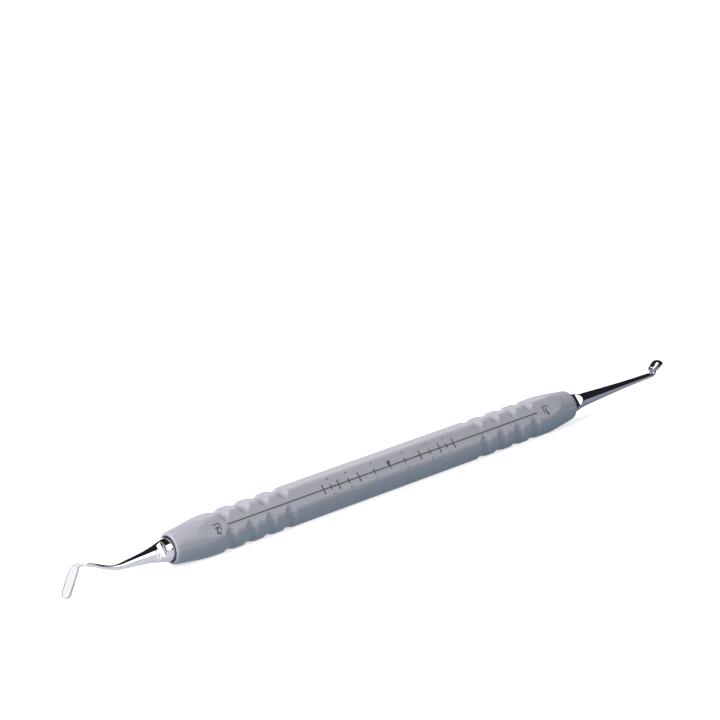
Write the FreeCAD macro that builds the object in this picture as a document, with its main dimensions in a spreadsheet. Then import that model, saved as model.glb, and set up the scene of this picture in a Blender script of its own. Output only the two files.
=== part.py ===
# Composite sculpting instrument: a moulded handle with a steel spatula and a steel condenser
import FreeCAD, Part
import math
import os
import Sketcher

os.makedirs("parts", exist_ok=True)
doc = FreeCAD.newDocument("instrument")

# Sizes in millimetres and degrees, measured from the handle's middle outwards
VALUES = {
    "handle_radius": 4.45,
    "flat_apothem": 4.0,
    "left_reach": 54.4,
    "right_reach": 55.6,
    "mouth_radius": 3.35,
    "nose_left": 9.4,
    "nose_right": 8.2,
    "land_left": 3.2,
    "land_right": 5.6,
    "rim_radius": 0.45,
    "groove_pitch": 5.0,
    "groove_width": 2.75,
    "groove_depth": 0.42,
    "seal_radius": 2.72,
    "seal_length": 0.9,
    "seal_setback": 0.1,
    "collar_radius": 2.45,
    "collar_depth": 4.0,
    "socket_radius": 2.2,
    "socket_floor": 0.7,
    "socket_waist": 1.9,
    "stud_radius": 1.2,
    "stud_length": 9.0,
    "stud_play": 0.3,
    "waist_width": 1.6,
    "waist_bevel": 0.4,
    "fit_gap": 0.02,
    "wrench_flat": 1.4,
    "wrench_width": 2.4,
    "wrench_left": 3.7,
    "wrench_right": 2.4,
    "blade_length": 7.35,
    "blade_width": 1.87,
    "blade_thickness": 0.4,
    "blade_angle": 58.0,
    "blade_turn": 20.0,
    "head_radius": 1.07,
    "head_length": 4.58,
    "head_angle": 23.0,
    "print_height": 0.03,
    "line_width": 0.24,
    "line_inset": 12.4,
    "long_half": 1.13,
    "short_half": 0.6,
    "dot_radius": 0.16,
    "dot_offset": 1.66,
    "mark_centre": 0.5,
}

sheet = doc.addObject("Spreadsheet::Sheet", "sizes")
for row, (alias, number) in enumerate(VALUES.items(), start=1):
    sheet.set("A%d" % row, alias)
    sheet.set("B%d" % row, str(number))
    sheet.setAlias("B%d" % row, alias)
doc.recompute()


class Size:
    """A number together with the sheet expression it comes from."""

    def __init__(self, value, text):
        self.value = value
        self.text = text

    def __add__(self, other):
        other = as_size(other)
        return Size(self.value + other.value, "(%s + %s)" % (self.text, other.text))

    def __sub__(self, other):
        other = as_size(other)
        return Size(self.value - other.value, "(%s - %s)" % (self.text, other.text))

    def __mul__(self, number):
        return Size(self.value * number, "(%s * %.9f)" % (self.text, number))

    def __neg__(self):
        return self * -1.0


def as_size(item):
    if isinstance(item, Size):
        return item
    return Size(float(item), "%.9f" % float(item))


def size(alias):
    return Size(VALUES[alias], "sizes." + alias)


def new_body(label, position=None, turn=None):
    body = doc.addObject("PartDesign::Body", label)
    body.Label = label
    rotation = FreeCAD.Rotation() if turn is None else turn
    body.Placement = FreeCAD.Placement(FreeCAD.Vector(0, 0, 0), rotation)
    for axis, item in zip("xyz", position or ()):
        body.setExpression("Placement.Base." + axis, as_size(item).text)
    return body


def new_sketch(body, plane, name, offset=None):
    sketch = body.newObject("Sketcher::SketchObject", name)
    base = [item for item in body.Origin.OriginFeatures if item.Role == plane][0]
    sketch.AttachmentSupport = [(base, "")]
    sketch.MapMode = "FlatFace"
    if offset is not None:
        sketch.AttachmentOffset = offset
    return sketch


def pin(sketch, geometry, end, item, kind, axis, name):
    """Fix one coordinate of a point to a size of the sheet."""
    item = as_size(item)
    if item.value == 0.0:
        sketch.addConstraint(Sketcher.Constraint("PointOnObject", geometry, end, axis))
        return
    rule = Sketcher.Constraint(kind, -1, 1, geometry, end, item.value)
    index = sketch.addConstraint(rule)
    if "sizes." in item.text:
        sketch.renameConstraint(index, name)
        sketch.setExpression("Constraints." + name, item.text)


def add_outline(sketch, points):
    """Closed outline of straight edges through the given points."""
    places = [(as_size(x), as_size(y)) for x, y in points]
    first = sketch.GeometryCount
    count = len(places)
    for k in range(count):
        x0, y0 = places[k]
        x1, y1 = places[(k + 1) % count]
        start = FreeCAD.Vector(x0.value, y0.value, 0)
        stop = FreeCAD.Vector(x1.value, y1.value, 0)
        sketch.addGeometry(Part.LineSegment(start, stop), False)
    for k in range(count):
        here = first + k
        after = first + (k + 1) % count
        sketch.addConstraint(Sketcher.Constraint("Coincident", here, 2, after, 1))
    for k in range(count):
        pin(sketch, first + k, 1, places[k][0], "DistanceX", -2, "x%d" % (first + k))
        pin(sketch, first + k, 1, places[k][1], "DistanceY", -1, "y%d" % (first + k))


def add_feature(body, kind, name, sketch):
    feature = body.newObject("PartDesign::" + kind, name)
    feature.Profile = sketch
    return feature


def turn_profile(body, name, points, kind="Revolution"):
    """Turn an outline in the plane of the axis about the long axis."""
    sketch = new_sketch(body, "XZ_Plane", name + "_outline")
    add_outline(sketch, points)
    feature = add_feature(body, kind, name, sketch)
    feature.ReferenceAxis = (sketch, ["H_Axis"])
    feature.Angle = 360.0
    return feature


def turned_offset(along, height, angle, side):
    """Place a cross-section of the shank at a point of its bent centre line."""
    tilt = math.radians(angle)
    tangent = FreeCAD.Vector(0, math.sin(tilt), side * math.cos(tilt))
    across = FreeCAD.Vector(0, math.cos(tilt), -side * math.sin(tilt))
    rotation = FreeCAD.Rotation(across, tangent.cross(across), tangent, "ZXY")
    return FreeCAD.Placement(FreeCAD.Vector(0, height, along), rotation)


def loft_sections(body, name, sections, side):
    """Loft round and oval sections along the bent centre line."""
    sketches = []
    for k, (along, height, angle, deep, thick) in enumerate(sections):
        offset = turned_offset(along, height, angle, side)
        sketch = new_sketch(body, "YZ_Plane", "%s_section_%d" % (name, k), offset)
        if deep == thick:
            centre = FreeCAD.Vector(0, 0, 0)
            up = FreeCAD.Vector(0, 0, 1)
            sketch.addGeometry(Part.Circle(centre, up, deep), False)
            sketch.addConstraint(Sketcher.Constraint("Coincident", 0, 3, -1, 1))
            sketch.addConstraint(Sketcher.Constraint("Radius", 0, deep))
        else:
            long_end = FreeCAD.Vector(deep, 0, 0)
            short_end = FreeCAD.Vector(0, thick, 0)
            sketch.addGeometry(Part.Ellipse(long_end, short_end, FreeCAD.Vector(0, 0, 0)), False)
        sketches.append(sketch)
    loft = add_feature(body, "AdditiveLoft", name, sketches[0])
    loft.Sections = sketches[1:]
    loft.Ruled = True
    return loft


def slab(apothem, height, half, angle):
    """Corners of a cutting slab that leaves a flat at the given distance."""
    tilt = math.radians(angle)
    c = math.cos(tilt)
    s = math.sin(tilt)
    inner = as_size(apothem)
    outer = inner + height
    corners = []
    for reach, side in ((inner, half), (outer, half), (outer, -half), (inner, -half)):
        corners.append((reach * c - side * s, reach * s + side * c))
    return corners


# Handle: turned blank with soft noses and four grooves near each end, then four long flats
radius = size("handle_radius")
apothem = size("flat_apothem")
left = -size("left_reach")
right = size("right_reach")
handle = new_body("handle", (0.0, 0.0, apothem))


def rim_points(mouth, side):
    """Rounded rim of a mouth, from its flat ring to its taper."""
    rim = size("rim_radius")
    points = []
    for k in range(4):
        swing = math.radians(30.0 * k)
        along = mouth + rim * ((1.0 - math.cos(swing)) * -side)
        points.append((along, size("mouth_radius") - rim * (1.0 - math.sin(swing))))
    return points


blank = [(left, 0.0)]
blank += rim_points(left, -1)
left_start = left + size("nose_left")
blank.append((left_start - 2.4, radius - 0.17))
blank.append((left_start, radius))
right_start = right - size("nose_right")
half_groove = size("groove_width") * 0.5
valley = radius - size("groove_depth")
for side, first in ((-1, left_start + size("land_left")), (1, right_start - size("land_right"))):
    for k in range(4):
        step = k if side < 0 else k - 3
        centre = first + size("groove_pitch") * step
        blank.append((centre - half_groove, radius))
        blank.append((centre, valley))
        blank.append((centre + half_groove, radius))
blank.append((right_start, radius))
blank.append((right_start + 2.4, radius - 0.17))
blank += reversed(rim_points(right, 1))
blank.append((right, 0.0))
turn_profile(handle, "blank", blank)

flats = new_sketch(handle, "YZ_Plane", "flats_outline")
for angle in (90.0, 150.0, 30.0, 270.0):
    add_outline(flats, slab(apothem, 1.5, 2.25, angle))
cut = add_feature(handle, "Pocket", "flats", flats)
cut.SideType = "Symmetric"
cut.Length = 130.0


def socket_outline(front, side):
    """Outside of the socket, with the waist that locks it in the moulded handle."""
    whole = size("stud_length") + size("stud_play") + size("socket_floor")
    end = front + whole * -side
    middle = front + whole * (-0.5 * side)
    narrow = size("waist_width") * 0.5
    wide = narrow + size("waist_bevel")
    return [
        (front, size("socket_radius")),
        (middle + wide * side, size("socket_radius")),
        (middle + narrow * side, size("socket_waist")),
        (middle - narrow * side, size("socket_waist")),
        (middle - wide * side, size("socket_radius")),
        (end, size("socket_radius")),
        (end, 0.0),
    ]


def bore_points(mouth, side):
    """Stepped seat of the seal ring, the steel collar and the moulded-in socket."""
    seal = mouth + (size("seal_length") + size("seal_setback")) * -side
    deep = mouth + size("collar_depth") * -side
    collar = size("collar_radius") + size("fit_gap")
    seat = [
        (mouth + side, 0.0),
        (mouth + side, size("seal_radius")),
        (seal, size("seal_radius")),
        (seal, collar),
        (deep, collar),
    ]
    return seat + socket_outline(deep, side)


turn_profile(handle, "left_bore", bore_points(left, -1), "Groove")
turn_profile(handle, "right_bore", bore_points(right, 1), "Groove")


def add_wrench_flats(body, middle, side):
    """Two opposite flats for a small spanner on the cone."""
    offset = FreeCAD.Placement(FreeCAD.Vector(0, 0, middle * side), FreeCAD.Rotation())
    sketch = new_sketch(body, "YZ_Plane", "wrench_outline", offset)
    for angle in (150.0, 330.0):
        add_outline(sketch, slab(size("wrench_flat"), 1.5, 2.6, angle))
    pocket = add_feature(body, "Pocket", "wrench_flats", sketch)
    pocket.SideType = "Symmetric"
    pocket.Length = VALUES["wrench_width"]
    pocket.setExpression("Length", "sizes.wrench_width")


def steel_profile(side, cone):
    """Stud, collar and cone of a steel end, from the stud's tip to the end of the cone."""
    collar = size("collar_depth") * -side
    stud = collar + size("stud_length") * -side
    points = [
        (stud, 0.0),
        (stud, size("stud_radius") - 0.3),
        (stud + 0.3 * side, size("stud_radius")),
        (collar, size("stud_radius")),
        (collar, size("collar_radius")),
    ]
    for along, reach in cone:
        points.append((along * side, reach))
    points.append((cone[-1][0] * side, 0.0))
    return points


collar_edge = size("collar_radius")

# Spatula end: cone, bent round shank flattened into a rounded blade
spatula = new_body("spatula_end", (left, 0.0, apothem))
spatula_cone = [
    (0.8, collar_edge),
    (2.0, 2.2),
    (4.0, 1.67),
    (6.1, 1.3),
    (11.6, 0.7),
]
turn_profile(spatula, "root", steel_profile(-1, spatula_cone))
add_wrench_flats(spatula, VALUES["wrench_left"], -1)
shank = [
    (-11.6, 0.0, 0.0, 0.7, 0.7),
    (-13.2, 0.27, 14.0, 0.53, 0.53),
    (-15.0, 0.95, 25.0, 0.46, 0.46),
    (-17.0, 1.92, 26.0, 0.43, 0.43),
    (-18.5, 2.56, 20.0, 0.4, 0.3),
    (-19.45, 2.8, 12.0, 0.37, 0.2),
]
loft_sections(spatula, "shank", shank, -1)
slope = FreeCAD.Rotation(FreeCAD.Vector(0, 0, 1), 180.0 + VALUES["blade_angle"])
twist = FreeCAD.Rotation(FreeCAD.Vector(1, 0, 0), VALUES["blade_turn"])
blade_offset = FreeCAD.Placement(FreeCAD.Vector(-19.2, 2.72, 0), slope * twist)
blade_sketch = new_sketch(spatula, "XZ_Plane", "blade_outline", blade_offset)
width = size("blade_width")
inner_edge = as_size(-0.9)
outer_edge = inner_edge - width
tip_centre = size("blade_length") - width * 0.5
blade_points = [(-0.42, 0.5), (-0.2, -0.75), (0.1, -1.5), (0.38, -1.93)]
blade_points += [(0.75, -2.26), (1.25, -2.5), (1.9, -2.66)]
blade_points.append((3.2, outer_edge))
for k in range(9):
    swing = math.radians(-90.0 + 22.5 * k)
    across = inner_edge - width * (0.5 - 0.5 * math.sin(swing))
    blade_points.append((tip_centre + width * (0.5 * math.cos(swing)), across))
blade_points += [(1.3, inner_edge), (0.85, -0.78), (0.5, -0.5), (0.3, -0.1), (0.2, 0.5)]
add_outline(blade_sketch, blade_points)
blade = add_feature(spatula, "Pad", "blade", blade_sketch)
blade.SideType = "Symmetric"
blade.Length = VALUES["blade_thickness"]
blade.setExpression("Length", "sizes.blade_thickness")

# Condenser end: cone, straight shank, short raised neck and a rounded barrel head
condenser = new_body("condenser_end", (right, 0.0, apothem))
condenser_cone = [
    (0.3, collar_edge),
    (2.3, 2.0),
    (4.9, 1.62),
    (9.9, 1.3),
    (17.4, 0.915),
    (26.7, 0.65),
]
turn_profile(condenser, "root", steel_profile(1, condenser_cone))
add_wrench_flats(condenser, VALUES["wrench_right"], 1)
neck = [
    (26.7, 0.0, 0.0, 0.65, 0.65),
    (27.5, 0.06, 18.0, 0.64, 0.64),
    (28.2, 0.48, 52.0, 0.6, 0.6),
    (28.5, 1.1, 74.0, 0.56, 0.56),
]
loft_sections(condenser, "neck", neck, 1)
head_turn = FreeCAD.Rotation(FreeCAD.Vector(0, 0, 1), VALUES["head_angle"])
head_offset = FreeCAD.Placement(FreeCAD.Vector(26.64, 0.72, 0), head_turn)
head_sketch = new_sketch(condenser, "XZ_Plane", "head_outline", head_offset)
head = size("head_radius")
reach = size("head_length")
head_points = [(0.0, 0.0)]
for along, part in ((0.1, 0.4), (0.55, 0.83), (1.4, 1.0)):
    head_points.append((along, head * part))
for along, part in ((1.1, 1.0), (0.5, 0.88), (0.12, 0.45)):
    head_points.append((reach - along, head * part))
head_points.append((reach, 0.0))
add_outline(head_sketch, head_points)
head_feature = add_feature(condenser, "Revolution", "head", head_sketch)
head_feature.ReferenceAxis = (head_sketch, ["H_Axis"])
head_feature.Angle = 360.0


def add_socket(label, mouth, side):
    """Blind threaded bush moulded into the handle behind the collar."""
    body = new_body(label, (mouth, 0.0, apothem))
    front = size("collar_depth") * -side
    floor = front + (size("stud_length") + size("stud_play")) * -side
    bore = size("stud_radius") + size("fit_gap")
    points = [(front, bore)] + socket_outline(front, side)
    points += [(floor, 0.0), (floor, bore)]
    turn_profile(body, "bush", points)
    return body


def add_seal(label, mouth, side):
    """Thin dark ring between the collar and the handle's mouth."""
    body = new_body(label, (mouth, 0.0, apothem))
    front = size("seal_setback") * -side
    back = front + size("seal_length") * -side
    inner = size("collar_radius") + size("fit_gap") * 0.5
    outer = size("seal_radius") - size("fit_gap") * 0.5
    points = [(front, inner), (front, outer), (back, outer), (back, inner)]
    turn_profile(body, "ring", points)
    return body


socket_left = add_socket("socket_left", left, -1)
socket_right = add_socket("socket_right", right, 1)
seal_left = add_seal("seal_left", left, -1)
seal_right = add_seal("seal_right", right, 1)

# Printed scale on the front flat: a long line, ticks, a centre mark and dots
flat_tilt = math.radians(30.0)
face_x = FreeCAD.Vector(1, 0, 0)
face_y = FreeCAD.Vector(0, math.sin(flat_tilt), math.cos(flat_tilt))
face_z = FreeCAD.Vector(0, -math.cos(flat_tilt), math.sin(flat_tilt))
face_turn = FreeCAD.Rotation(face_x, face_y, face_z, "ZXY")
face_position = (0.0, apothem * -math.cos(flat_tilt), apothem + apothem * math.sin(flat_tilt))
scale_print = new_body("scale_print", face_position, face_turn)
scale_print.AllowCompound = True
line_height = -0.2
mark = size("mark_centre")
half_line = size("line_width") * 0.5


def add_print(name):
    sketch = new_sketch(scale_print, "XY_Plane", name + "_outline")
    return sketch


def pad_print(name, sketch):
    pad = add_feature(scale_print, "Pad", name, sketch)
    pad.Length = VALUES["print_height"]
    pad.setExpression("Length", "sizes.print_height")


def box_points(x0, x1, y0, y1):
    return [(x0, y0), (x1, y0), (x1, y1), (x0, y1)]


base_line = add_print("base_line")
low = as_size(line_height) - half_line
high = as_size(line_height) + half_line
line_start = left + size("line_inset")
line_stop = right - size("line_inset")
add_outline(base_line, box_points(line_start, line_stop, low, high))
pad_print("base_line", base_line)
ticks = add_print("ticks")
for place, half in ((8.4, "long_half"), (13.9, "long_half"), (17.9, "long_half"),
                    (4.2, "short_half"), (11.15, "short_half"), (15.9, "short_half")):
    for side in (-1, 1):
        middle = mark + place * side
        bottom = as_size(line_height) - size(half)
        top = as_size(line_height) + size(half)
        add_outline(ticks, box_points(middle - half_line, middle + half_line, bottom, top))
pad_print("ticks", ticks)
pointer = add_print("pointer")
add_outline(pointer, [(mark - 0.45, 0.95), (mark, -1.0), (mark + 0.45, 0.95)])
pad_print("pointer", pointer)
dots = add_print("dots")
for place in (4.2, 11.15, 15.9):
    for side in (-1, 1):
        for rail in (-1, 1):
            middle = mark + place * side
            height = size("dot_offset") * rail
            spot = []
            for corner in range(8):
                swing = math.radians(45.0 * corner + 22.5)
                reach = size("dot_radius")
                spot.append((middle + reach * math.cos(swing), height + reach * math.sin(swing)))
            add_outline(dots, spot)
pad_print("dots", dots)

doc.recompute()
nodes = [handle, spatula, condenser, socket_left, socket_right, seal_left, seal_right]
nodes.append(scale_print)
for item in doc.Objects:
    if "Invalid" in item.State or "Error" in item.State:
        raise RuntimeError("feature not built: " + item.Label)
for node in nodes:
    if node.Shape.isNull() or not node.Shape.isValid():
        raise RuntimeError("shape not valid: " + node.Label)
    node.Shape.exportStep("parts/%s.step" % node.Label)
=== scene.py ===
# Composite sculpting instrument: satin grey handle with two mirror polished steel ends
import math

import bpy
import numpy as np
from mathutils import Matrix, Vector


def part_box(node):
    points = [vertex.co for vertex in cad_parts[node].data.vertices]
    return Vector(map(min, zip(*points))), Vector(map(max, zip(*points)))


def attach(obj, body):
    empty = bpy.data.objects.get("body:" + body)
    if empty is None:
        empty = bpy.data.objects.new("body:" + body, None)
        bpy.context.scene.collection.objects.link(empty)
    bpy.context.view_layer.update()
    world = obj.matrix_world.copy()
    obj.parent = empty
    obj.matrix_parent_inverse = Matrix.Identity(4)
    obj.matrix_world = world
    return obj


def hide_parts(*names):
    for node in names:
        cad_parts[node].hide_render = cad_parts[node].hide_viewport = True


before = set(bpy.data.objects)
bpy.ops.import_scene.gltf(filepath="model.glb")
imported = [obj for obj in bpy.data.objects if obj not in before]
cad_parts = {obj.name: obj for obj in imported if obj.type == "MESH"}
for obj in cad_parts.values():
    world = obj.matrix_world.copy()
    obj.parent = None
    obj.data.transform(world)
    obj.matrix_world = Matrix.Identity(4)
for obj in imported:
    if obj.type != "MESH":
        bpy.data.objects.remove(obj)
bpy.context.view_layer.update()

MM = 0.001

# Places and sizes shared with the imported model, in millimetres
handle_low, handle_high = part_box("handle")
LEFT = handle_low[0] / MM
RIGHT = handle_high[0] / MM
RADIUS = handle_high[1] / MM
APOTHEM = (handle_high[2] - handle_low[2]) / MM / 2
AXIS = (handle_high[2] + handle_low[2]) / MM / 2

# Directions of the handle's flats round its axis, counted from the far side over the top
TOP_FLAT = math.radians(90.0)
FRONT_FLAT = math.radians(150.0)
BACK_FLAT = math.radians(30.0)
UNDER_FLAT = math.radians(270.0)

# Camera, placed from the photograph: angles, then millimetres
AZIMUTH = math.radians(-36.63)
ELEVATION = math.radians(11.70)
ROLL = math.radians(-9.27)
DISTANCE = 483.67
AIM = Vector((-0.11, 0.0, 24.88 + AXIS))
LENS = 115.0
SENSOR = 36.0


def direction(azimuth, elevation):
    """Unit vector towards a place round the instrument; azimuth 0 is the near side."""
    return Vector((
        math.sin(azimuth) * math.cos(elevation),
        -math.cos(azimuth) * math.cos(elevation),
        math.sin(elevation),
    ))


def place_camera():
    """Camera that looks at the aim point, rolled about its own axis."""
    back = direction(AZIMUTH, ELEVATION)
    side = (-back).cross(Vector((0, 0, 1))).normalized()
    up = side.cross(-back)
    right = math.cos(ROLL) * side + math.sin(ROLL) * up
    top = -math.sin(ROLL) * side + math.cos(ROLL) * up
    turn = Matrix((right, top, back)).transposed().to_4x4()
    data = bpy.data.cameras.new("camera")
    data.lens = LENS
    data.sensor_width = SENSOR
    data.clip_start = 0.01
    data.clip_end = 100.0
    camera = bpy.data.objects.new("camera", data)
    camera.matrix_world = Matrix.Translation((AIM + back * DISTANCE) * MM) @ turn
    bpy.context.scene.collection.objects.link(camera)
    bpy.context.scene.camera = camera


class Socket:
    """Output of a node; Python operators on it add Math nodes."""

    def __init__(self, nodes, output):
        self.nodes = nodes
        self.output = output

    def math(self, kind, *items):
        return self.nodes.add("ShaderNodeMath", {"operation": kind}, dict(enumerate(items)))

    def __add__(self, other):
        return self.math("ADD", self, other)

    def __sub__(self, other):
        return self.math("SUBTRACT", self, other)

    def __rsub__(self, other):
        return self.math("SUBTRACT", other, self)

    def __mul__(self, other):
        return self.math("MULTIPLY", self, other)

    __radd__ = __add__
    __rmul__ = __mul__

    def __abs__(self):
        return self.math("ABSOLUTE", self)

    def root(self):
        return self.math("SQRT", self)

    def below(self, other):
        return self.math("LESS_THAN", self, other)


# Sockets of a Mix node in its colour form
MIX_FACTOR = 0
MIX_FIRST = 6
MIX_SECOND = 7
MIX_RESULT = 2


class Nodes:
    """Node tree of a material or world."""

    def __init__(self, owner):
        owner.use_nodes = True
        self.tree = owner.node_tree
        self.tree.nodes.clear()

    def add(self, kind, settings=None, sockets=None, output=0):
        """Node of a type with its settings, then the values or links of its sockets."""
        node = self.tree.nodes.new(kind)
        for name, value in (settings or {}).items():
            setattr(node, name, value)
        for key, item in (sockets or {}).items():
            if isinstance(item, Socket):
                self.tree.links.new(item.output, node.inputs[key])
            else:
                node.inputs[key].default_value = item
        return Socket(self, node.outputs[output])

    def finish(self, kind, shader):
        """Output node of a type, fed by a shader."""
        end = self.tree.nodes.new(kind)
        self.tree.links.new(shader.output, end.inputs["Surface"])

    def place(self):
        """Object coordinates in metres."""
        return self.add("ShaderNodeTexCoord", output="Object")

    def axes(self):
        """Object coordinates split into x, y and z."""
        split = self.add("ShaderNodeSeparateXYZ", sockets={"Vector": self.place()})
        return [Socket(self, output) for output in split.output.node.outputs]

    def noise(self, scale, detail=3.0):
        """Cloudy value from 0 to 1."""
        sockets = {"Vector": self.place(), "Scale": scale, "Detail": detail}
        return self.add("ShaderNodeTexNoise", sockets=sockets, output="Fac")

    def ramp(self, value, low, high):
        """Value that climbs from 0 at low to 1 at high."""
        sockets = {"Value": value, "From Min": low, "From Max": high}
        return self.add("ShaderNodeMapRange", sockets=sockets)

    def mix(self, factor, first, second):
        """Colour between two colours."""
        sockets = {MIX_FACTOR: factor, MIX_FIRST: first, MIX_SECOND: second}
        return self.add("ShaderNodeMix", {"data_type": "RGBA"}, sockets, MIX_RESULT)

    def ray(self, kind):
        """Whether the ray is of a kind."""
        return self.add("ShaderNodeLightPath", output=f"Is {kind} Ray")


def hex_colour(text):
    """Linear colour of a hexadecimal sRGB code."""
    parts = [int(text[k:k + 2], 16) / 255 for k in (0, 2, 4)]
    linear = [c / 12.92 if c <= 0.04045 else ((c + 0.055) / 1.055) ** 2.4 for c in parts]
    return (*linear, 1.0)


def tint(red, green, blue):
    """Linear colour."""
    return (red, green, blue, 1.0)


def grey(value):
    """Linear grey."""
    return tint(value, value, value)


def new_material(name):
    """Material without nodes, and its node tree."""
    material = bpy.data.materials.new(name)
    return material, Nodes(material)


def close(nodes, sockets):
    """End a material with one Principled shader."""
    shader = nodes.add("ShaderNodeBsdfPrincipled", sockets=sockets)
    nodes.finish("ShaderNodeOutputMaterial", shader)


# Scales of the noise in the materials
CLOUD_SCALE = 160.0
GRAIN_SCALE = 5200.0
HAZE_SCALE = 900.0
SPECK_SCALE = 2400.0

# Parting line of the handle: half its width in millimetres, and how much of it shows
SEAM_HALF = 0.045
SEAM_SHOWS = 0.5


def handle_plastic():
    """Satin moulded plastic with a fine grain and a pale parting line on both sides."""
    material, nodes = new_material("handle_plastic")
    cloud = nodes.noise(CLOUD_SCALE)
    grain = nodes.noise(GRAIN_SCALE, 2.0)
    height = nodes.axes()[2]
    seam = abs(height - AXIS * MM).below(SEAM_HALF * MM)
    colour = nodes.mix(cloud, hex_colour("83838A"), hex_colour("87878E"))
    colour = nodes.mix(SEAM_SHOWS * seam, colour, hex_colour("C4BDB5"))
    bump = {"Height": grain, "Strength": 0.3, "Distance": 0.03 * MM}
    close(nodes, {
        "Base Color": colour,
        "Roughness": 0.39 + 0.06 * cloud,
        "Normal": nodes.add("ShaderNodeBump", sockets=bump),
    })
    return material


def polished_steel():
    """Mirror polished stainless steel with a faint polishing haze."""
    material, nodes = new_material("polished_steel")
    close(nodes, {
        "Base Color": hex_colour("D6D6DA"),
        "Metallic": 1.0,
        "Roughness": 0.04 + 0.05 * nodes.noise(HAZE_SCALE),
    })
    return material


def plain(name, code, roughness, metallic=0.0):
    """Material of one colour with a slightly uneven roughness."""
    material, nodes = new_material(name)
    close(nodes, {
        "Base Color": hex_colour(code),
        "Metallic": metallic,
        "Roughness": (roughness - 0.05) + 0.1 * nodes.noise(SPECK_SCALE),
    })
    return material


PLASTIC = handle_plastic()
STEEL = polished_steel()
BRASS = plain("socket_brass", "C9A55A", 0.35, 1.0)
RUBBER = plain("seal_rubber", "1E1D1F", 0.6)
INK = plain("print_ink", "372E2C", 0.5)


def add_piece(name, vertices, faces, material, smooth=True):
    """Mesh piece that rides with the instrument, from points in millimetres."""
    mesh = bpy.data.meshes.new(name)
    mesh.from_pydata([tuple(v * MM for v in point) for point in vertices], [], faces)
    mesh.validate()
    mesh.polygons.foreach_set("use_smooth", [smooth] * len(mesh.polygons))
    mesh.materials.append(material)
    piece = bpy.data.objects.new(name, mesh)
    bpy.context.scene.collection.objects.link(piece)
    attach(piece, "root")
    return piece


def join_rings(rings):
    """Skin a row of equal rings and close both ends with one face."""
    count = len(rings[0])
    vertices = [point for ring in rings for point in ring]
    faces = []
    for i in range(len(rings) - 1):
        here = i * count
        there = here + count
        for j in range(count):
            k = (j + 1) % count
            faces.append((here + j, here + k, there + k, there + j))
    last = len(vertices) - count
    faces.append(tuple(range(count - 1, -1, -1)))
    faces.append(tuple(range(last, last + count)))
    return vertices, faces


def turns(count):
    """Even angles of one full turn."""
    return np.linspace(0.0, 2 * math.pi, count, endpoint=False)


def ring_at(x, reach, swings):
    """Ring round the handle's axis at a place, from its reach at each angle."""
    along = np.full(len(swings), x)
    return np.stack([along, reach * np.cos(swings), AXIS + reach * np.sin(swings)], 1)


def soft_min(a, b, blend):
    """Smaller of two lengths, rounded over where they are nearly equal."""
    gap = np.clip((blend - np.abs(a - b)) / blend, 0.0, 1.0)
    return np.minimum(a, b) - gap * gap * blend / 4.0


def catmull(points, steps):
    """Smooth row through control points of any dimension."""
    rows = [np.array(p, dtype=float) for p in points]
    rows = [2 * rows[0] - rows[1]] + rows + [2 * rows[-1] - rows[-2]]
    out = []
    for i in range(1, len(rows) - 2):
        a, b, c, d = rows[i - 1:i + 3]
        for k in range(steps):
            t = k / steps
            square = (2 * a - 5 * b + 4 * c - d) * t * t
            cube = (3 * b - a - 3 * c + d) * t ** 3
            out.append(0.5 * (2 * b + (c - a) * t + square + cube))
    out.append(rows[-2])
    return out


# Mouths of the handle, in millimetres like every length below
MOUTH_RADIUS = 3.35
SEAL_RADIUS = 2.72
SEAL_DEPTH = 1.0
SEAL_LIP = 0.03
RIM = 0.45
RIM_STEPS = 8
RIM_GAP = 0.1

# Noses: length, dip under the grip, ease into it, and land up to the first groove's middle
NOSE_LEFT, DIP_LEFT, EASE_LEFT, LAND_LEFT = 9.4, 0.19, 2.6, 3.2
NOSE_RIGHT, DIP_RIGHT, EASE_RIGHT, LAND_RIGHT = 8.8, 0.1, 1.5, 5.0

# Grip grooves; on the top flat they are deeper, fading in over a range of the facing value
GROOVES = 4
GROOVE_PITCH = 5.0
GROOVE_WIDTH = 2.7
GROOVE_DEPTH = 0.42
CROWN_EXTRA = 0.42
CROWN_FROM = 0.8
CROWN_FADE = 0.15

# Edges of the flats, the raised parting line and the spacing of the handle's rings
EDGE_BLEND = 0.03
FLAT_FACING = 0.5
NO_FLAT = 99.0
SEAM_RISE = 0.012
SEAM_SPREAD = 0.012
HANDLE_COUNT = 168
GRIP_MARGIN = 2.0
GRIP_STEP = 0.125
MIDDLE_COUNT = 12


def nose_radius(depth, length, dip, ease):
    """Radius of a nose at a depth from its mouth: a taper that eases into the grip."""
    if depth >= length:
        return RADIUS
    if depth > length - ease:
        t = (length - depth) / ease
        return RADIUS - dip * t * t
    t = depth / (length - ease)
    return MOUTH_RADIUS + (RADIUS - dip - MOUTH_RADIUS) * t


def groove_drop(x, centres):
    """Depth of the grip grooves at a place along the handle."""
    drop = 0.0
    for centre in centres:
        reach = abs(x - centre) / (GROOVE_WIDTH / 2)
        drop = max(drop, GROOVE_DEPTH * (1.0 - reach * reach))
    return drop


def rim_stations(mouth, side):
    """Stations from the seal's seat over the rounded rim of a mouth."""
    rim = [(mouth + SEAL_DEPTH * side, SEAL_RADIUS, 0.0)]
    rim.append((mouth + SEAL_LIP * side, SEAL_RADIUS, 0.0))
    for k in range(RIM_STEPS + 1):
        swing = math.radians(90.0 * k / RIM_STEPS)
        along = mouth + RIM * (1 - math.cos(swing)) * side
        rim.append((along, MOUTH_RADIUS - RIM * (1 - math.sin(swing)), 0.0))
    return rim


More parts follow.
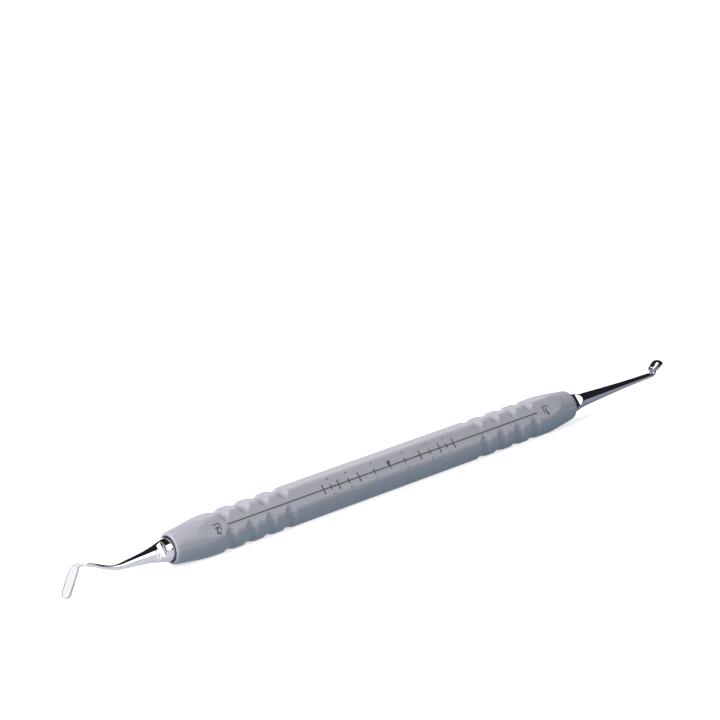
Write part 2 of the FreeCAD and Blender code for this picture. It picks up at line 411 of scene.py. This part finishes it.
def handle_stations():
    """Places along the handle with their radius and groove depth, from left to right."""
    first = LEFT + NOSE_LEFT + LAND_LEFT
    last = RIGHT - NOSE_RIGHT - LAND_RIGHT
    left_centres = [first + GROOVE_PITCH * k for k in range(GROOVES)]
    right_centres = [last - GROOVE_PITCH * k for k in range(GROOVES)]
    inner_left = max(left_centres) + GRIP_MARGIN
    inner_right = min(right_centres) - GRIP_MARGIN
    outside = list(np.arange(LEFT + RIM + RIM_GAP, inner_left, GRIP_STEP))
    outside += list(np.linspace(inner_left, inner_right, MIDDLE_COUNT))
    outside += list(np.arange(inner_right + RIM_GAP, RIGHT - RIM - RIM_GAP / 2, GRIP_STEP))
    stations = rim_stations(LEFT, 1)
    for x in outside:
        if x < 0:
            radius = nose_radius(x - LEFT, NOSE_LEFT, DIP_LEFT, EASE_LEFT)
        else:
            radius = nose_radius(RIGHT - x, NOSE_RIGHT, DIP_RIGHT, EASE_RIGHT)
        stations.append((x, radius, groove_drop(x, left_centres + right_centres)))
    return stations + rim_stations(RIGHT, -1)[::-1]


def add_handle():
    """Turned handle cut by four flats, with grooves that fade out on the flats."""
    swings = turns(HANDLE_COUNT)
    limit = np.full(HANDLE_COUNT, NO_FLAT)
    for flat in (TOP_FLAT, FRONT_FLAT, BACK_FLAT, UNDER_FLAT):
        facing = np.cos(swings - flat)
        cut = APOTHEM / np.maximum(facing, FLAT_FACING)
        limit = np.minimum(limit, np.where(facing > FLAT_FACING, cut, NO_FLAT))
    seam = np.maximum(0.0, 1.0 - np.abs(np.sin(swings)) / SEAM_SPREAD) * SEAM_RISE
    crown = np.clip((np.cos(swings - TOP_FLAT) - CROWN_FROM) / CROWN_FADE, 0.0, 1.0)
    rings = []
    for x, radius, drop in handle_stations():
        reach = soft_min(radius - drop * (1.0 + CROWN_EXTRA * crown), limit, EDGE_BLEND)
        if radius > MOUTH_RADIUS:
            reach = reach + seam
        rings.append(ring_at(x, reach, swings))
    vertices, faces = join_rings(rings)
    piece = add_piece("handle_skin", vertices, faces, PLASTIC)
    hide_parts("handle")


# Collars and spanner flats, which start in a steep slope and run out in a ramp
COLLAR_RADIUS = 2.45
COLLAR_DEPTH = 4.0
CONE_STEPS = 12
WRENCH_FLAT = 1.4
LEAD_SLOPE = 3.0
LEAD_IN = 0.9
LEAD_COUNT = 10
RUN_START = 0.1
RUN_OUT = 1.7
RUN_COUNT = 17
CREASE = 0.02
LEAST_FACING = 0.05
STEEL_COUNT = 96
SWINGS = turns(STEEL_COUNT)

# Start and end of each end's flats, from the mouth, and the slope of their ramp
WRENCH_LEFT = (2.05, 3.05, 2.2)
WRENCH_RIGHT = (0.4, 2.3, 0.39)


def turned_rings(mouth, side, cone, low, high, ramp):
    """Collar and cone of a steel end, with two spanner flats from low to high."""
    facing = np.maximum(np.abs(np.cos(SWINGS - FRONT_FLAT)), LEAST_FACING)
    collar = [(-COLLAR_DEPTH, COLLAR_RADIUS), (0.0, COLLAR_RADIUS)]
    row = catmull(collar + cone, CONE_STEPS)
    places = [p[0] for p in row]
    heights = [p[1] for p in row]
    extra = list(np.linspace(low - LEAD_IN, low, LEAD_COUNT))
    extra += [low + CREASE, high - CREASE, high + CREASE]
    extra += list(np.linspace(high + RUN_START, high + RUN_OUT, RUN_COUNT))
    rings = []
    for place in sorted(places + extra):
        radius = float(np.interp(place, places, heights))
        apothem = WRENCH_FLAT
        apothem += LEAD_SLOPE * max(0.0, low - place) + ramp * max(0.0, place - high)
        reach = soft_min(np.full(STEEL_COUNT, radius), apothem / facing, EDGE_BLEND)
        rings.append(ring_at(mouth + place * side, reach, SWINGS))
    return rings


def ribbon_rings(mouth, rows):
    """Sections between two edge points, with a face direction, thickness and roundness."""
    across = np.sin(SWINGS)[:, None]
    facing = np.cos(SWINGS)[:, None]
    base = np.array([mouth, 0.0, AXIS])
    rings = []
    for row in rows:
        inner, outer, face = row[0:3], row[3:6], row[6:9] / np.linalg.norm(row[6:9])
        half_thick, power = row[9:11]
        middle = (inner + outer) / 2
        half_wide = (outer - inner) / 2
        depth = np.sign(facing) * np.abs(facing) ** power * half_thick
        rings.append(base + middle + half_wide * across + face * depth)
    return rings


def section(x, z, angle, deep, thick, side):
    """Shank section across its centre line: edges, face direction and sizes."""
    tilt = math.radians(angle)
    middle = np.array([x, 0.0, z])
    across = np.array([-side * math.sin(tilt), 0.0, math.cos(tilt)]) * deep
    return np.concatenate([middle - across, middle + across, [0.0, 1.0, 0.0, thick, 1.0]])


# Spatula end: the blade lies in a sloped plane that is turned towards the camera
BLADE_SLOPE = math.radians(58.0)
BLADE_TURN = math.radians(20.0)
BLADE_WIDTH = 2.03
BLADE_LENGTH = 7.35
BLADE_INNER = -0.74
BLADE_OUTER = BLADE_INNER - BLADE_WIDTH
BLADE_HALF = 0.2
BLADE_EDGE = 0.25
BLADE_ROOT = np.array([-19.2, 0.0, 2.72])
BLADE_ALONG = np.array([-math.cos(BLADE_SLOPE), 0.0, -math.sin(BLADE_SLOPE)])
BLADE_ACROSS = np.array([
    math.cos(BLADE_TURN) * math.sin(BLADE_SLOPE),
    -math.sin(BLADE_TURN),
    -math.cos(BLADE_TURN) * math.cos(BLADE_SLOPE),
])
BLADE_FACE = np.cross(BLADE_ACROSS, BLADE_ALONG)
BLADE_STEPS = 10
TIP_SWINGS = (12, 24, 36, 48, 58, 67, 75, 81, 86, 89.5)
TIP_THICKNESS = 0.45
TIP_GROWTH = 1.4

# Places along the cone from the mouth, with the radius there
SPATULA_CONE = [
    (0.8, COLLAR_RADIUS), (2.0, 2.2), (3.0, 1.93), (4.0, 1.68),
    (5.0, 1.49), (6.1, 1.3), (9.0, 0.98), (11.6, 0.7),
]


def blade_row(inner, outer, half=BLADE_HALF, power=BLADE_EDGE):
    """Section of the blade between places given along and across its own plane."""
    ends = [BLADE_ROOT + BLADE_ALONG * p[0] + BLADE_ACROSS * p[1] for p in (inner, outer)]
    return np.concatenate([ends[0], ends[1], BLADE_FACE, [half, power]])


def blade_tip(centre):
    """Sections of the round end of the blade, thinner towards the edge."""
    radius = BLADE_WIDTH / 2
    middle = BLADE_INNER - radius
    rows = []
    for swing in np.radians(TIP_SWINGS):
        place = centre + radius * math.sin(swing)
        reach = radius * math.cos(swing)
        half = BLADE_HALF * min(1.0, TIP_THICKNESS + math.cos(swing) * TIP_GROWTH)
        rows.append(blade_row((place, middle + reach), (place, middle - reach), half))
    return rows


def add_spatula():
    """Cone, bent shank and flat rounded blade, skinned as one piece."""
    tip_centre = BLADE_LENGTH - BLADE_WIDTH / 2
    rows = [
        section(-11.6, 0.0, 0.0, 0.7, 0.7, -1),
        section(-13.2, 0.27, 14.0, 0.53, 0.53, -1),
        section(-15.0, 0.95, 25.0, 0.46, 0.46, -1),
        section(-17.0, 1.92, 26.0, 0.43, 0.41, -1),
        section(-18.4, 2.53, 20.0, 0.39, 0.31, -1),
        blade_row((0.24, 0.1), (-0.34, 0.0), 0.24, 0.8),
        blade_row((0.36, -0.25), (-0.2, -0.75), 0.21, 0.5),
        blade_row((0.5, -0.5), (0.1, -1.5), power=0.35),
        blade_row((0.7, -0.7), (0.6, -2.15), power=0.3),
        blade_row((1.0, -0.85), (1.3, -2.52)),
        blade_row((1.6, BLADE_INNER), (2.0, -2.69)),
        blade_row((3.0, BLADE_INNER), (3.2, BLADE_OUTER)),
        blade_row((4.7, BLADE_INNER), (4.7, BLADE_OUTER)),
        blade_row((tip_centre, BLADE_INNER), (tip_centre, BLADE_OUTER)),
    ]
    rings = turned_rings(LEFT, -1, SPATULA_CONE, *WRENCH_LEFT)
    rings += ribbon_rings(LEFT, catmull(rows, BLADE_STEPS))[1:]
    rings += ribbon_rings(LEFT, blade_tip(tip_centre))
    # These rings run to the left, so they are turned round to face outwards
    vertices, faces = join_rings([ring[::-1] for ring in rings])
    piece = add_piece("spatula_skin", vertices, faces, STEEL)
    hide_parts("spatula_end")


# Condenser end: its cone, and the head's middle, radius, tilt in degrees and domed back
CONDENSER_CONE = [
    (0.3, COLLAR_RADIUS), (1.2, 2.22), (2.3, 2.0), (3.6, 1.78), (4.9, 1.62),
    (9.9, 1.3), (17.4, 0.915), (22.4, 0.745), (26.7, 0.65),
]
NECK_STEPS = 12
HEAD_X = 27.86
HEAD_Z = 1.3
HEAD_RADIUS = 0.98
HEAD_TILT = 26.0
HEAD_BACK = (0.9, 0.44)
HEAD_STEPS = 6
BACK_SWINGS = (3, 12, 25, 38, 52, 68)


def add_shank():
    """Cone, straight shank and raised neck of the condenser end."""
    rows = [
        section(26.7, 0.0, 0.0, 0.65, 0.65, 1),
        section(27.5, 0.06, 18.0, 0.64, 0.64, 1),
        section(28.2, 0.48, 52.0, 0.6, 0.6, 1),
        section(28.5, 1.1, 74.0, 0.56, 0.56, 1),
    ]
    rings = turned_rings(RIGHT, 1, CONDENSER_CONE, *WRENCH_RIGHT)
    rings += ribbon_rings(RIGHT, catmull(rows, NECK_STEPS))[1:]
    vertices, faces = join_rings(rings)
    shank = add_piece("condenser_skin", vertices, faces, STEEL)
    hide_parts("condenser_end")


def add_head():
    """Rounded head with a domed back and a pointed far edge."""
    rows = []
    for swing in np.radians(BACK_SWINGS):
        back = HEAD_RADIUS * math.cos(swing)
        place = (HEAD_X - HEAD_BACK[0] * back, HEAD_Z - HEAD_BACK[1] * back)
        rows.append((*place, HEAD_TILT, HEAD_RADIUS * math.sin(swing)))
    rows += [
        (HEAD_X, HEAD_Z, HEAD_TILT, 0.97),
        (28.5, 1.62, 24.0, 1.12),
        (29.1, 1.88, 16.0, 1.16),
        (29.72, 1.98, 4.0, 1.05),
        (30.25, 1.93, -3.0, 0.83),
        (30.7, 1.85, -6.0, 0.6),
        (31.1, 1.77, -6.0, 0.34),
        (31.33, 1.72, -6.0, 0.17),
        (31.42, 1.7, -6.0, 0.02),
    ]
    rings = []
    for x, z, angle, radius in catmull(rows, HEAD_STEPS):
        tilt = math.radians(angle)
        up = np.array([-math.sin(tilt), 0.0, math.cos(tilt)])
        centre = np.array([RIGHT + x, 0.0, AXIS + z])
        ring = centre + radius * np.sin(SWINGS)[:, None] * up
        rings.append(ring + radius * np.cos(SWINGS)[:, None] * np.array([0.0, 1.0, 0.0]))
    vertices, faces = join_rings(rings)
    head = add_piece("condenser_head", vertices, faces, STEEL)
    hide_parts("condenser_end")


# Marks on the front flat, beside the printed scale that comes with the model
FACE_UP = np.array([0.0, math.sin(FRONT_FLAT), -math.cos(FRONT_FLAT)])
FACE_OUT = np.array([0.0, math.cos(FRONT_FLAT), math.sin(FRONT_FLAT)])
PRINT_HEIGHT = 0.03
LINE_WIDTH = 0.2
DIGIT_WIDTH = 0.3
DIGIT_OFFSET = 0.045
DIGIT_EXTRUDE = 0.5


def on_flat(along, across, height):
    """Point of the front flat, in millimetres."""
    point = FACE_UP * across + FACE_OUT * (APOTHEM + height)
    return (along, point[1], AXIS + point[2])


def add_mark(name, vertices, faces):
    """Printed mark with sharp edges."""
    add_piece(name, vertices, faces, INK, smooth=False)


def add_digit(name, text, along, across, size):
    """Digit of the built-in font, read with the instrument turned end for end."""
    curve = bpy.data.curves.new(name, "FONT")
    curve.body = text
    curve.align_x = "CENTER"
    curve.align_y = "CENTER"
    curve.size = size
    curve.extrude = DIGIT_EXTRUDE
    curve.offset = DIGIT_OFFSET
    maker = bpy.data.objects.new(name + "_maker", curve)
    bpy.context.scene.collection.objects.link(maker)
    bpy.context.view_layer.update()
    graph = bpy.context.evaluated_depsgraph_get()
    mesh = bpy.data.meshes.new_from_object(maker.evaluated_get(graph))
    bpy.data.objects.remove(maker)
    # The extrusion only tells the printed face from its back, which lies on the flat
    vertices = []
    for vertex in mesh.vertices:
        height = PRINT_HEIGHT if vertex.co.z > 0 else 0.0
        vertices.append(on_flat(along - vertex.co.x, across - vertex.co.y, height))
    add_mark(name, vertices, [tuple(face.vertices) for face in mesh.polygons])


def bar(start, stop, width):
    """Corners and faces of a thin printed bar between two places on the flat."""
    line = stop - start
    side = np.array([-line[1], line[0]]) / np.hypot(*line) * width / 2
    corners = [start - side, stop - side, stop + side, start + side]
    points = [on_flat(*corner, height) for height in (0.0, PRINT_HEIGHT) for corner in corners]
    faces = [(3, 2, 1, 0), (4, 5, 6, 7)]
    faces += [(k, (k + 1) % 4, 4 + (k + 1) % 4, 4 + k) for k in range(4)]
    return points, faces


def add_corner(name, far, corner, low, width):
    """Printed mark of two bars that meet at a corner."""
    vertices = []
    faces = []
    for start, stop in ((far, corner), (corner, low)):
        points, sides = bar(np.array(start), np.array(stop), width)
        faces += [tuple(k + len(vertices) for k in side) for side in sides]
        vertices += points
    add_mark(name, vertices, faces)


def add_marks():
    """Both digits, each with the right-angled mark beside it."""
    add_digit("digit_two", "2", -44.62, -0.72, 2.2)
    add_corner("bracket_two", (-45.35, 0.62), (-43.85, 0.62), (-43.85, -0.85), LINE_WIDTH)
    add_corner("digit_one", (46.34, -1.12), (46.0, -1.42), (45.95, 0.1), DIGIT_WIDTH)
    add_corner("bracket_one", (46.95, 0.61), (45.25, 0.61), (45.25, -0.84), LINE_WIDTH)


def dress_nodes():
    """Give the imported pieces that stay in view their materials."""
    dress = {
        "socket_left": BRASS,
        "socket_right": BRASS,
        "seal_left": RUBBER,
        "seal_right": RUBBER,
        "scale_print": INK,
    }
    for name, material in dress.items():
        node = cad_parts[name]
        node.data.materials.clear()
        node.data.materials.append(material)


# Floor in metres, and the stretches over which its colours change
FLOOR_SIZE = 60.0
PAST_TIP = (0.086, 0.1)
RIGHTWARD = (-0.07, 0.06)
OFF_LINE = (0.003, 0.012)
OUTWARD = (0.1, 0.5)
BLACK = grey(0.0)
WHITE = grey(1.0)


def add_floor():
    """White sweep of floor that keeps the shadow and tints what the steel mirrors."""
    bpy.ops.mesh.primitive_plane_add(size=FLOOR_SIZE)
    floor = bpy.context.object
    floor.name = "floor"
    material, nodes = new_material("floor")
    camera = nodes.ray("Camera")
    glossy = nodes.ray("Glossy")
    x, y = nodes.axes()[:2]
    beyond = nodes.ramp(x, *PAST_TIP)
    rightward = nodes.ramp(x, *RIGHTWARD)
    aside = nodes.ramp(abs(y), *OFF_LINE)
    far = nodes.ramp((x * x + y * y).root(), *OUTWARD)

    # Lit floor: darker to the steel past the right tip
    shiny = nodes.mix(beyond, tint(0.18, 0.19, 0.22), grey(0.02))
    lit = nodes.mix(camera, nodes.mix(glossy, tint(0.12, 0.17, 0.2), shiny), grey(0.5))

    # Glow: white to the camera, a cool bounce on the handle, and dark to the right in steel
    seen = nodes.mix(far, grey(0.62), grey(1.05))
    bounce = nodes.mix(aside, tint(0.4, 0.52, 0.62), tint(0.0, 0.08, 0.15))
    mirrored = nodes.mix(rightward, tint(0.56, 0.56, 0.57), tint(0.06, 0.07, 0.09))
    mirrored = nodes.mix(beyond, mirrored, BLACK)
    glow = nodes.mix(camera, nodes.mix(glossy, bounce, mirrored), seen)

    matt = nodes.add("ShaderNodeBsdfDiffuse", sockets={"Color": lit})
    lamp = nodes.add("ShaderNodeEmission", sockets={"Color": glow, "Strength": 1.0})
    both = nodes.add("ShaderNodeAddShader", sockets={0: matt, 1: lamp})
    nodes.finish("ShaderNodeOutputMaterial", both)
    floor.data.materials.append(material)


def add_world():
    """White to the camera, dim studio grey to everything else."""
    world = bpy.data.worlds.new("studio")
    bpy.context.scene.world = world
    nodes = Nodes(world)
    dim = nodes.mix(nodes.ray("Glossy"), tint(0.2, 0.2, 0.215), tint(0.02, 0.02, 0.024))
    colour = nodes.mix(nodes.ray("Camera"), dim, WHITE)
    room = nodes.add("ShaderNodeBackground", sockets={"Color": colour, "Strength": 1.0})
    nodes.finish("ShaderNodeOutputWorld", room)


def add_softbox(name, azimuth, elevation, distance, width, height, power, mirrored):
    """Rectangular lamp facing the instrument; mirrored says whether steel shows it."""
    back = direction(math.radians(azimuth), math.radians(elevation))
    data = bpy.data.lights.new(name, "AREA")
    data.shape = "RECTANGLE"
    data.size = width
    data.size_y = height
    data.energy = power
    lamp = bpy.data.objects.new(name, data)
    lamp.location = back * distance
    lamp.rotation_mode = "QUATERNION"
    lamp.rotation_quaternion = back.to_track_quat("Z", "Y")
    lamp.visible_glossy = mirrored
    lamp.visible_camera = False
    bpy.context.scene.collection.objects.link(lamp)


def light():
    """Lamps round the instrument; steel mirrors only those that end in True."""
    add_softbox("front_box", 22.0, 36.0, 1.0, 0.75, 0.75, 4.0, True)
    add_softbox("back_box", -216.0, 14.0, 1.2, 1.3, 0.36, 3.0, True)
    add_softbox("blade_box", -8.0, 16.0, 1.0, 0.8, 0.5, 1.7, True)
    add_softbox("left_box", -90.0, 30.0, 1.0, 0.8, 0.5, 19.0, False)
    add_softbox("top_box", -150.0, 75.0, 1.0, 1.0, 1.0, 6.0, False)
    add_softbox("left_card", -90.0, 50.0, 1.0, 0.8, 0.6, 3.0, True)


def settings():
    """Renderer, picture size and view transform."""
    scene = bpy.context.scene
    scene.render.engine = "CYCLES"
    scene.render.resolution_x = 720
    scene.render.resolution_y = 720
    scene.cycles.samples = 256
    scene.cycles.use_denoising = True
    scene.view_settings.view_transform = "Standard"


place_camera()
add_handle()
add_spatula()
add_shank()
add_head()
add_marks()
dress_nodes()
add_floor()
add_world()
light()
settings()
